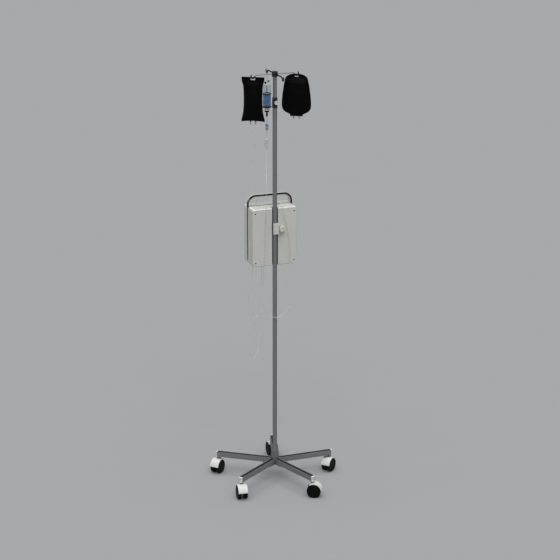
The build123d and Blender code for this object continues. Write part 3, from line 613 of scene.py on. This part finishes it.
def bag(name, side, halves, pads, slot_half, slot_tall, arch, body, node):
    """Two films over one outline, welded round the border, with a slot for the hook."""
    turn = Matrix.Translation((side * HOOK_REACH, 0, 0)) @ BAG_TURN
    top, bottom = halves[0][0] * MM, halves[-1][0] * MM
    slot_low, slot_high = SLOT_TOP - slot_tall - 1e-6, SLOT_TOP + 1e-6
    rows = spaced((bottom, SLOT_TOP - slot_tall, SLOT_TOP, top), ROW_STEP)
    bm = bmesh.new()
    verts = {}
    for i, z in enumerate(rows):
        half = value_at(halves, z)
        pad = value_at(pads, z)
        for j in range(-BAG_COLUMNS, BAG_COLUMNS + 1):
            u = half * j / BAG_COLUMNS
            if slot_low <= z <= slot_high and abs(j) <= SLOT_COLUMNS:
                u = slot_half * j / SLOT_COLUMNS
            rise = arch * (1 - (u / half) ** 2) * max(0.0, 1 - (z - bottom) / ARCH_TALL)
            inside = min(half - abs(u), z - bottom, pads[0][0] * MM + SEAM - z)
            thick = FILM + film_offset(u, z, inside, pad, half) * (pad > 0)
            for face in (1, -1):
                verts[face, i, j] = bm.verts.new(turn @ Vector((u, face * thick, z + rise)))
    for i in range(len(rows) - 1):
        open_row = slot_low <= rows[i] and rows[i + 1] <= slot_high
        for j in range(-BAG_COLUMNS, BAG_COLUMNS):
            if not (open_row and -SLOT_COLUMNS <= j < SLOT_COLUMNS):
                corners = ((i, j), (i, j + 1), (i + 1, j + 1), (i + 1, j))
                bm.faces.new([verts[1, a, b] for a, b in corners])
    partner = {verts[1, i, j]: verts[-1, i, j] for _, i, j in verts}
    front = list(bm.faces)
    rim = [edge for edge in bm.edges if len(edge.link_faces) == 1]
    for made in front:
        bm.faces.new([partner[v] for v in reversed(made.verts)])
    for edge in rim:
        a, b = edge.verts
        bm.faces.new((a, b, partner[b], partner[a]))
    bmesh.ops.delete(bm, geom=[v for v in bm.verts if not v.link_faces], context="VERTS")
    film_piece = piece(name, bm, "bag_film", body)
    smoother = film_piece.modifiers.new("smooth", "SUBSURF")
    smoother.levels = smoother.render_levels = 1
    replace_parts(film_piece, node)


def make_port_roots():
    """Upper ends of the ports, welded between the two films of a bag."""
    port_r = 3.6 * MM
    for name in ("left", "right"):
        low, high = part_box(f"bag_{name}_ports")
        middle = (low + high) / 2
        across = Vector((high.x - low.x - 2 * port_r, low.y - high.y + 2 * port_r, 0)) / 2
        for number, side in enumerate((-1, 1), start=1):
            spot = Vector((middle.x, middle.y, 0)) + across * side
            path = [spot + Vector((0, 0, high.z + lift * MM)) for lift in (-0.5, 3, 8, 12)]
            tube(f"{name}_port_root_{number}", path, 3.2 * MM, 1.5 * MM, "bag_film", f"{name}_bag", 16)


# ------------------------------------------------------------------ flexible lines

LINE_R = 1.9 * MM
LINE_BORE = 1.35 * MM


def hung_line(name, path, heights):
    """Line cut into pieces at each of the heights; the last piece moves with the pump."""
    cuts = [0] + [next(i for i, point in enumerate(path) if point.z <= z) for z in heights]
    for number, (start, stop) in enumerate(zip(cuts, cuts[1:]), start=1):
        part = tube(f"{name}_{number}", path[start:stop + 1], LINE_R, LINE_BORE, "line_plastic")
        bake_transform(part)
        if number == 1:
            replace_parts(part, name)
    tube(f"{name}_{len(cuts)}", path[cuts[-1]:], LINE_R, LINE_BORE, "line_plastic", "pump")


def make_lines():
    """Line from the bag to the pump, from the burette to the pump, and from the pump towards the patient."""
    port = Vector((HOOK_REACH, 0, 0)) + BAG_TURN @ Vector((-12 * MM, 0, 0))
    supply = smooth_path([
        (port.x, port.y, 1.8515), (port.x, port.y, 1.815), (port.x + 0.004, port.y - 0.004, 1.74),
        (0.121, -0.022, 1.56), (0.1235, -0.030, 1.42), (0.1235, -0.034, 1.10), (0.120, -0.050, 0.80),
        (0.112, -0.062, 0.680), (0.092, -0.078, 0.632), (0.066, -0.096, 0.640), (0.044, -0.110, 0.700),
        (0.034, -0.113, 0.88), (0.030, -0.113, 1.06), (0.030, -0.113, CASE_LOW.z)])
    hung_line("supply_line", supply, (1.76, 1.56, 1.43))

    y, over = -HOOK_REACH, CASE_HIGH.z
    feed = smooth_path([
        (0, y, 1.7838), (0, y, 1.74), (0, y, 1.69), (0.006, y + 0.012, 1.655), (0.026, -0.050, 1.60),
        (0.044, 0.006, 1.545), (0.048, 0.0095, 1.47), (0.050, 0.0095, 1.36), (0.054, 0.0095, 1.25),
        (0.051, 0.0095, 1.00), (0.046, 0.013, 0.915), (0.024, 0.018, 0.874), (-0.022, 0.018, 0.872),
        (-0.066, 0.014, 0.905), (-0.084, 0.0095, 0.965), (-0.078, 0.0095, 1.15), (-0.066, 0.0095, 1.30),
        (-0.046, 0.0095, 1.38), (-0.040, 0.0095, over - 0.004), (-0.036, 0.001, over + 0.012),
        (-0.028, -0.030, over + 0.026), (0.000, -0.074, over + 0.031), (0.040, -0.104, over + 0.030),
        (0.055, -0.112, over + 0.016), (0.055, -0.112, over)])
    hung_line("burette_line", feed, (1.60, 1.49, 1.37))

    low = CASE_LOW.z
    loop = smooth_path([
        (0.078, -0.113, low), (0.078, -0.113, 1.07), (0.084, -0.108, 1.00), (0.092, -0.095, 0.915),
        (0.086, -0.096, 0.865), (0.064, -0.106, 0.843), (0.040, -0.106, 0.858), (0.026, -0.103, 0.915),
        (0.024, -0.100, 1.02), (0.024, -0.100, low - 0.028)])
    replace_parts(tube("patient_line_1", loop, LINE_R, LINE_BORE, "line_plastic", "pump"), "patient_line")
    end = bmesh.new()
    profile = ((1.4, 0), (3.4, 0), (3.4, 3), (4.3, 4), (4.3, 16), (3.2, 17.5), (2.9, 27), (1.4, 27))
    lathe(end, in_mm(profile), (0.024, -0.100, low - 0.0285), (0, 0, 1), 24)
    piece("patient_connector", end, "clamp_white", "pump")


# ------------------------------------------------------------------ details on the pole

def arc(reach, z, r, angles):
    """(reach, height) points on a circle, for the angles given in degrees."""
    return [(reach + r * cos(radians(a)), z + r * sin(radians(a))) for a in angles]


def make_hooks():
    """Dark sleeve on each hook's loop; on two of the hooks it covers the arm as well."""
    loop_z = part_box("hook_arms")[1].z - 8.1 * MM
    bend_r = 6 * MM
    bend = HOOK_REACH - 16.1 * MM
    for number, angle in enumerate((0, 90, 180, 270), start=1):
        out = Vector((cos(radians(angle)), sin(radians(angle)), 0))
        spots = []
        if angle in (90, 270):
            spots = [(reach, loop_z + bend_r) for reach in (0.0148, 0.04, 0.07, bend - 1 * MM)]
            spots += arc(bend, loop_z, bend_r, range(80, 5, -12))
        spots += arc(HOOK_REACH, loop_z, 10.1 * MM, range(180, 413, 6))
        path = [out * reach + Vector((0, 0, z)) for reach, z in spots]
        tube(f"hook_sleeve_{number}", path, 2.9 * MM, 2.2 * MM, "trim_black", "upper_pole", 14)


def make_burette():
    """Scale, centre rod, liquid ring and port caps of the burette."""
    low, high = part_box("burette_cylinder")
    fluid_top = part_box("burette_fluid")[1].z
    scale = bmesh.new()
    for step in (0, 1, 2, 3, 4, 5, 7, 8, 9, 10):        # the float ring covers mark 6
        reach = 18 if step % 5 else 26
        for side in (-90, 62):
            arc_mark(scale, side - reach, side + reach, low.z + (14 + 8 * step) * MM)
    piece("burette_scale", scale, "navy_plastic", "burette")
    rod = [Vector((0, -HOOK_REACH, z)) for z in (fluid_top + 0.5 * MM, 1.98, 2.0, high.z - 1.5 * MM)]
    tube("burette_rod", rod, 1.7 * MM, 0.7 * MM, "dark_plastic", "burette", 16)
    meniscus = bmesh.new()
    lathe(meniscus, in_mm(((17.9, 0), (18.6, 0), (18.6, 1.6), (17.9, 2.2))),
          (0, -HOOK_REACH, fluid_top - 0.8 * MM), (0, 0, 1))
    piece("burette_meniscus", meniscus, "blue_fluid", "burette")
    caps = bmesh.new()
    lid_top = high.z + 6 * MM
    for x, y, r, tall, lift in ((9, 4, 4.3, 9, 0), (-9, 0, 4.0, 7, 7)):
        profile = ((0.5, 0), (r, 0), (r + 0.5, 1.2), (r + 0.5, tall - 1.5), (r - 0.7, tall), (0.5, tall))
        lathe(caps, in_mm(profile), (x * MM, -HOOK_REACH + y * MM, lid_top + lift * MM), (0, 0, 1), 24)
    piece("burette_caps", caps, "trim_black", "burette")


def arc_mark(bm, low, high, z):
    """Thin printed line that lies round the burette between two angles."""
    steps, r, tall = 10, 20.15 * MM, 0.55 * MM
    angles = [low + (high - low) * k / steps for k in range(steps + 1)]
    rows = [[bm.verts.new((r * cos(radians(a)), -HOOK_REACH + r * sin(radians(a)), height)) for a in angles]
            for height in (z - tall / 2, z + tall / 2)]
    for k in range(steps):
        bm.faces.new((rows[0][k], rows[0][k + 1], rows[1][k + 1], rows[1][k]))


# ------------------------------------------------------------------ casters

DISC_PROFILE = ((8.3, 0), (26.6, 0), (26.6, 0.7), (24.5, 1.2), (22.5, 0.5), (14, 0.5), (12.5, 1.4),
                (9.5, 1.4), (8.3, 0.9))
RIDGE_STEPS = 6             # half the number of steps along a grip line
RIDGE_SIDES = 8


def make_casters():
    """Side discs with rings on the wheels, and grip ridges over each hood."""
    for number in range(1, 6):
        place, axis = joint(f"caster_{number}_roll")
        rings = bmesh.new()
        for side in (-1, 1):
            face = place + axis * side * 23.0 * MM
            out = axis * side
            lathe(rings, in_mm(DISC_PROFILE), face, out, 56)
            for spoke in range(5):
                rib(rings, face + out * 0.5 * MM, out, 72 * spoke + 10 * number, 13.5 * MM, 23.5 * MM)
        piece(f"caster_discs_{number}", rings, "black_wheel", f"wheels_{number}")
        stem, _ = joint(f"caster_{number}_swivel")
        trail = Vector((place.x - stem.x, place.y - stem.y, 0)).normalized()
        ridges = bmesh.new()
        for angle in (18, 29, 40, 51):
            ridge(ridges, place, trail, axis, angle)
        piece(f"caster_ridges_{number}", ridges, "white_plastic", f"caster_{number}")


def rib(bm, centre, out, angle, near, far):
    """Small raised spoke on a wheel's side."""
    side = out.orthogonal().normalized()
    along = (side * cos(radians(angle)) + out.cross(side) * sin(radians(angle))).normalized()
    across = out.cross(along)
    place = Matrix.Translation(centre) @ Matrix((along, across, out)).transposed().to_4x4()
    outline = rounded_outline(far - near, 2.4 * MM, 1 * MM, 3)
    slab(bm, shifted(outline, (near + far) / 2, 0), 0, 0.9 * MM, place)


def ridge(bm, centre, trail, axis, angle):
    """Rounded grip line across a hood."""
    r = centre.z + 4.3 * MM         # the wheel's radius, and the hood's gap and wall
    up = Vector((0, 0, 1))
    out = (trail * cos(radians(angle)) + up * sin(radians(angle))).normalized()
    tangent = axis.cross(out).normalized()
    turns = [2 * pi * s / RIDGE_SIDES for s in range(RIDGE_SIDES)]
    rings = []
    for k in range(-RIDGE_STEPS, RIDGE_STEPS + 1):
        fade = max(0.15, 1 - (abs(k) / RIDGE_STEPS) ** 6)
        middle = centre + out * r + axis * k * 3.1 * MM
        rings.append([bm.verts.new(middle + (tangent * cos(t) * 0.9 * MM + out * sin(t) * 0.75 * MM) * fade)
                      for t in turns])
    for one, two in zip(rings, rings[1:]):
        join_rings(bm, one, two)
    bm.faces.new(rings[0])
    bm.faces.new(rings[-1])


# ------------------------------------------------------------------ pump front

# Segments of the numerals in use; each bar is (x, y, whether it lies flat) in half widths and half heights.
SEGMENTS = {"1": "bc", "2": "abdeg", "5": "acdfg"}
BARS = {"a": (0, 1, 1), "b": (1, 0.5, 0), "c": (1, -0.5, 0), "d": (0, -1, 1), "e": (-1, -0.5, 0),
        "f": (-1, 0.5, 0), "g": (0, 0, 1)}
MARK_LOW, MARK_HIGH = -0.1 * MM, 0.12 * MM          # lit marks, below and above the display's face


def make_display():
    """Lit content of the display, with a rate in numerals, a bar and level marks, and the bezel round it."""
    low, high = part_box("display_window")
    middle = (low + high) / 2
    face = facing_front(0, low.y - 0.15 * MM, 0)
    lit = bmesh.new()
    for place, digit in enumerate("125"):
        number_shape(lit, digit, low.x + (14 + 16 * place) * MM, middle.z + 9 * MM, 7 * MM, 22 * MM, face)
    for k in range(10):
        block = rounded_outline(5.2 * MM, (4 if k < 7 else 1.2) * MM, 0.5 * MM, 2)
        slab(lit, shifted(block, low.x + (12 + 7.2 * k) * MM, low.z + 12 * MM), MARK_LOW, MARK_HIGH, face)
    for k in range(4):
        tall = (4 + 2.2 * k) * MM
        block = rounded_outline(2.6 * MM, tall, 0.4 * MM, 2)
        spot = (high.x - (24 - 4 * k) * MM, low.z + 34 * MM + tall / 2)
        slab(lit, shifted(block, *spot), MARK_LOW, MARK_HIGH, face)
    piece("display_marks", lit, "display_glass", "pump", False, "lit")
    rim = bmesh.new()
    outer = rounded_outline(high.x - low.x + 7 * MM, high.z - low.z + 7 * MM, 5 * MM)
    inner = rounded_outline(high.x - low.x - 1 * MM, high.z - low.z - 1 * MM, 3 * MM)
    ring_slab(rim, outer, inner, 0, 1.3 * MM, facing_front(middle.x, low.y + 0.4 * MM, middle.z))
    soften(piece("display_bezel", rim, "dark_plastic", "pump"), 0.5 * MM)


def ring_slab(bm, outer, inner, low, high, place):
    """Flat frame between two outlines with the same number of points."""
    rings = [[bm.verts.new(place @ Vector((x, y, z))) for x, y in line]
             for line, z in ((outer, low), (outer, high), (inner, high), (inner, low))]
    for one, two in zip(rings, rings[1:] + rings[:1]):
        join_rings(bm, one, two)


def number_shape(bm, digit, x, z, wide, tall, face):
    """Seven-segment numeral."""
    for name in SEGMENTS[digit]:
        px, pz, flat = BARS[name]
        size = (wide * 1.1, 1.8 * MM) if flat else (1.8 * MM, tall * 0.38)
        bar = rounded_outline(*size, 0.7 * MM, 2)
        slab(bm, shifted(bar, x + px * wide * 0.72, z + pz * tall * 0.46), MARK_LOW, MARK_HIGH, face)


KEY_MARKS = {"key_up": ((0, 4.2), (-4, -2.6), (4, -2.6)), "key_down": ((0, -4.2), (4, 2.6), (-4, 2.6)),
             "key_run": ((4.4, 0), (-2.8, 4.2), (-2.8, -4.2))}


def make_keys():
    """Raised arrow or run mark on each key, and a rim round it."""
    for key, outline in KEY_MARKS.items():
        low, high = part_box(key)
        middle = (low + high) / 2
        mark = bmesh.new()
        slab(mark, in_mm(outline), 0, 0.35 * MM, facing_front(middle.x, low.y + 0.05 * MM, middle.z))
        soften(piece(f"{key}_mark", mark, "clamp_white", key, False), 0.15 * MM)
        rim = bmesh.new()
        lathe(rim, in_mm(((9.6, 0), (11.8, 0), (11.6, 0.9), (10.7, 1.4), (9.7, 0.9))),
              (middle.x, CASE_FRONT + 0.2 * MM, middle.z), (0, -1, 0), 40)
        piece(f"{key}_rim", rim, "dark_plastic", "pump")


def make_door():
    """Grip ribs and a framed window on the door, and ribs on its latch."""
    low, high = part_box("door")
    middle_x = (low.x + high.x) / 2
    grip = bmesh.new()
    for k in range(9):
        bar = rounded_outline(46 * MM, 1.8 * MM, 0.85 * MM, 4)
        slab(grip, shifted(bar, middle_x, low.z + (14 + 4.2 * k) * MM), -0.2 * MM, 0.9 * MM,
             facing_front(0, low.y, 0))
    piece("door_grip", grip, "case_plastic", "pump_door")
    window = facing_front(middle_x + 6 * MM, low.y, high.z - 46 * MM)
    outer, inner = rounded_outline(58 * MM, 62 * MM, 7 * MM), rounded_outline(50 * MM, 54 * MM, 5 * MM)
    pane = bmesh.new()
    ring_slab(pane, outer, inner, -0.3 * MM, 1.3 * MM, window)
    soften(piece("door_window_frame", pane, "dark_plastic", "pump_door"), 0.4 * MM)
    glass = bmesh.new()
    slab(glass, rounded_outline(50.4 * MM, 54.4 * MM, 5 * MM), 0.05 * MM, 0.6 * MM, window)
    soften(piece("door_window", glass, "display_glass", "pump_door"), 0.2 * MM)
    low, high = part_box("door_latch")
    face = facing_front((low.x + high.x) / 2, low.y, (low.z + high.z) / 2)
    ribs = bmesh.new()
    for k in range(5):
        bar = rounded_outline(7 * MM, 1.3 * MM, 0.6 * MM, 3)
        slab(ribs, shifted(bar, 0, (k - 2) * 3.4 * MM - 10 * MM), -0.1 * MM, 0.7 * MM, face)
    piece("latch_ribs", ribs, "dark_plastic", "latch")


# ------------------------------------------------------------------ pump back, sides and inside

def make_clamp_knob():
    """Two rings on the clamp knob's end, and grip ribs round it."""
    place, _ = joint("hand_knob_turn")
    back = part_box("clamp_knob")[1].y
    rings = bmesh.new()
    for r, sunk in ((13.4, 2.1), (9.2, 0.1)):
        lathe(rings, in_mm(((r - 0.7, 0), (r + 0.7, 0), (r + 0.45, 0.6), (r - 0.45, 0.6))),
              (place.x, back - sunk * MM, place.z), (0, 1, 0), 56)
    piece("clamp_knob_rings", rings, "case_plastic", "hand_knob")
    grips = bmesh.new()
    grip_r, count = 16.0 * MM, 24
    for k in range(count):
        a = 2 * pi * k / count
        lathe(grips, in_mm(((0.2, 0), (0.9, 0), (0.9, 8), (0.2, 8.6))),
              (place.x + grip_r * cos(a), back - 12 * MM, place.z + grip_r * sin(a)), (0, 1, 0), 8)
    piece("clamp_knob_grip", grips, "case_plastic", "hand_knob")


def make_trim_tails():
    """Lower ends of the black band, standing proud of the case's sides."""
    low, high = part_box("trim_band")
    for number, side in enumerate((-1, 1), start=1):
        sideways = Matrix(((0, 0, side), (1, 0, 0), (0, 1, 0))).to_4x4()
        spot = (side * (high.x - 2 * MM), (low.y + high.y) / 2, CASE_LOW.z + 49 * MM)
        tail = bmesh.new()
        slab(tail, rounded_outline(high.y - low.y, 52 * MM, 2.4 * MM, 4), 0.05 * MM, 1.95 * MM,
             Matrix.Translation(spot) @ sideways)
        soften(piece(f"trim_tail_{number}", tail, "trim_black", "pump"), 0.6 * MM)


def make_board():
    """Small components on the circuit board."""
    low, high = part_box("circuit_board")
    sizes = ((4, 2), (6, 4), (3, 5), (8, 5))
    parts = bmesh.new()
    for row in range(9):
        for column in range(5):
            if (row * 5 + column * 3) % 4 == 0:         # some places stay empty
                continue
            spot = (low.x + (14 + 17 * column) * MM, high.y, low.z + (12 + 15 * row) * MM)
            wide, long = sizes[(row + column) % 4]
            slab(parts, rounded_outline(wide * MM, long * MM, 0.4 * MM, 2), 0, (0.9 + (row % 3) * 0.5) * MM,
                 Matrix.Translation(spot) @ Matrix.Rotation(-pi / 2, 4, "X"))
    soften(piece("board_components", parts, "dark_plastic", "pump", False), 0.15 * MM)


# ------------------------------------------------------------------ stage

def studio():
    """Plain pale floor, even light from the whole sky, and two soft lights."""
    floor_mat = Surface("studio_grey", (0.335, 0.343, 0.347), 0.9)
    floor_mat.tint(floor_mat.noise(3, 3), (0.345, 0.352, 0.356), 0.3)
    bm = bmesh.new()
    bmesh.ops.create_grid(bm, x_segments=4, y_segments=4, size=60)
    floor = mesh_object("studio_floor", bm, floor_mat.done(**{"Specular IOR Level": 0.05}))
    world = bpy.data.worlds.new("studio_world")
    world.use_nodes = True
    sky = world.node_tree.nodes["Background"]
    sky.inputs["Color"].default_value = (0.97, 0.985, 1.0, 1)
    sky.inputs["Strength"].default_value = 0.38
    bpy.context.scene.world = world
    soft_sun("overhead", (0.3, 0.5, 3.0), 70, 1.85)
    soft_sun("key", (0.9, 3.0, 3.3), 35, 0.85)


def soft_sun(name, place, spread, power):
    """Even light that comes from the direction of a place."""
    data = bpy.data.lights.new(name, "SUN")
    data.angle = radians(spread)
    data.energy = power
    made = bpy.data.objects.new(name, data)
    made.location = place
    made.rotation_euler = (-Vector(place)).to_track_quat("-Z", "Y").to_euler()
    bpy.context.collection.objects.link(made)


CAMERA_AZIMUTH = 69.64      # degrees from +X, anticlockwise, to where the camera stands
CAMERA_DISTANCE = 8.8637
CAMERA_HEIGHT = 3.7938
CAMERA_PITCH = 17.157       # degrees below the horizon
CAMERA_LENS = 120.44        # mm, on a sensor 36 mm wide
CAMERA_SHIFT = 0.00924


def camera():
    data = bpy.data.cameras.new("view_camera")
    data.lens = CAMERA_LENS
    data.sensor_width = 36
    data.shift_x = CAMERA_SHIFT
    made = bpy.data.objects.new("view_camera", data)
    angle = radians(CAMERA_AZIMUTH)
    made.location = (CAMERA_DISTANCE * cos(angle), CAMERA_DISTANCE * sin(angle), CAMERA_HEIGHT)
    made.rotation_euler = (radians(90 - CAMERA_PITCH), 0, angle + pi / 2)
    bpy.context.collection.objects.link(made)
    bpy.context.scene.camera = made


# ------------------------------------------------------------------ assembly

materials = make_materials()
dress_frame(materials)
HOOK_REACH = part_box("hook_arms")[1].x - 12.2 * MM        # from the pole to the middle of a hook's loop
SLOT_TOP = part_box("hook_arms")[0].z + 5.15 * MM
CASE_LOW, CASE_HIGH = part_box("rear_case")
CASE_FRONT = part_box("key_up")[0].y + 2.2 * MM
bag("bag_left_film", 1, LEFT_HALF, LEFT_PAD, 10.5 * MM, 9 * MM, 4 * MM, "left_bag", "bag_left")
bag("bag_right_film", -1, RIGHT_HALF, RIGHT_PAD, 8 * MM, 8 * MM, 0.0, "right_bag", "bag_right")
make_port_roots()
make_lines()
make_hooks()
make_burette()
make_casters()
make_display()
make_keys()
make_door()
make_clamp_knob()
make_trim_tails()
make_board()
studio()
camera()
bpy.context.scene.view_settings.view_transform = "Standard"
